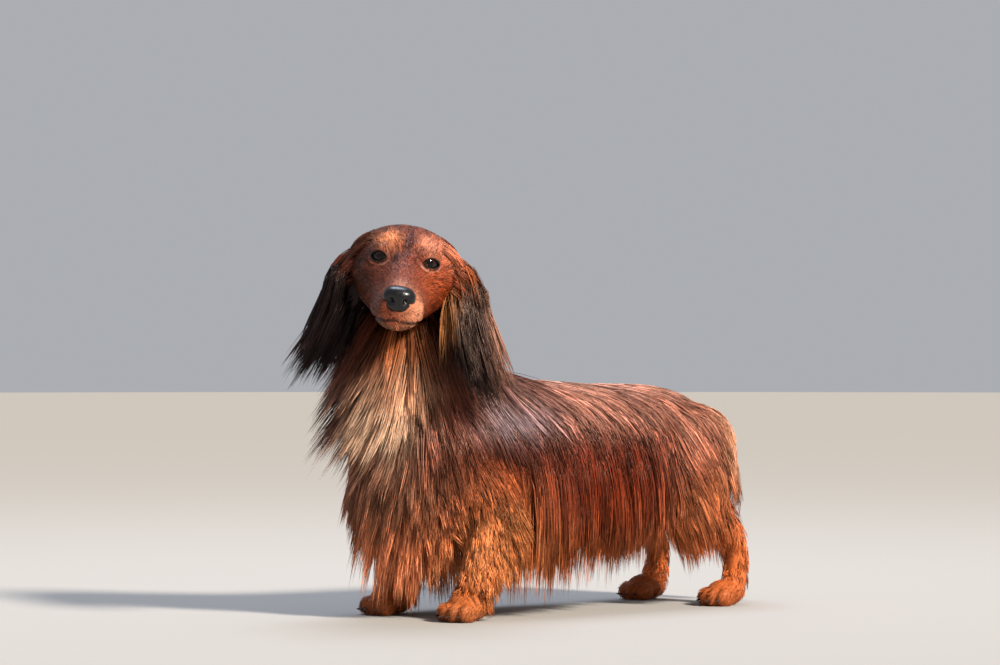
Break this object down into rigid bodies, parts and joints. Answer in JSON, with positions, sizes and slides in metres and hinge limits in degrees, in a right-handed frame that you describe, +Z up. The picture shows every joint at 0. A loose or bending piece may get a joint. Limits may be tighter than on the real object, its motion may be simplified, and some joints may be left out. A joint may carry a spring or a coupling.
{
  "type": "long-haired dachshund model",
  "caption": "Life-size standing long-haired dachshund, head turned to its left, with drop ears, a long combed coat and a hanging feathered tail.",
  "frame": {"origin": "middle of the base of the model's box, on the floor between the feet", "axes": "-X towards the dog's head, -Y towards its left side, +Z up"},
  "size_m": [0.5652, 0.254, 0.3798],
  "materials": {
    "coat_red": "short glossy red hair",
    "coat_dark": "long black-brown hair",
    "coat_mahogany": "long mahogany hair",
    "coat_orange": "orange-red feathering",
    "coat_cream": "light chest hair",
    "nose_leather": "moist pebbled skin",
    "eye": "wet dark brown",
    "claw": "dark horn"
  },
  "bodies": {
    "root": {"ear_left": "coat_dark", "ear_right": "coat_dark", "eye_left": "eye", "eye_right": "eye", "foreleg_left": "coat_orange", "foreleg_right": "coat_orange", "head": "coat_red", "hindleg_left": "coat_orange", "hindleg_right": "coat_orange", "jaw": "coat_red", "neck": "coat_mahogany", "nose": "nose_leather", "paw_front_left": "coat_orange", "paw_front_right": "coat_orange", "paw_hind_left": "coat_orange", "paw_hind_right": "coat_orange", "tail": "coat_red", "torso": "coat_mahogany"}
  },
  "joints": []
}
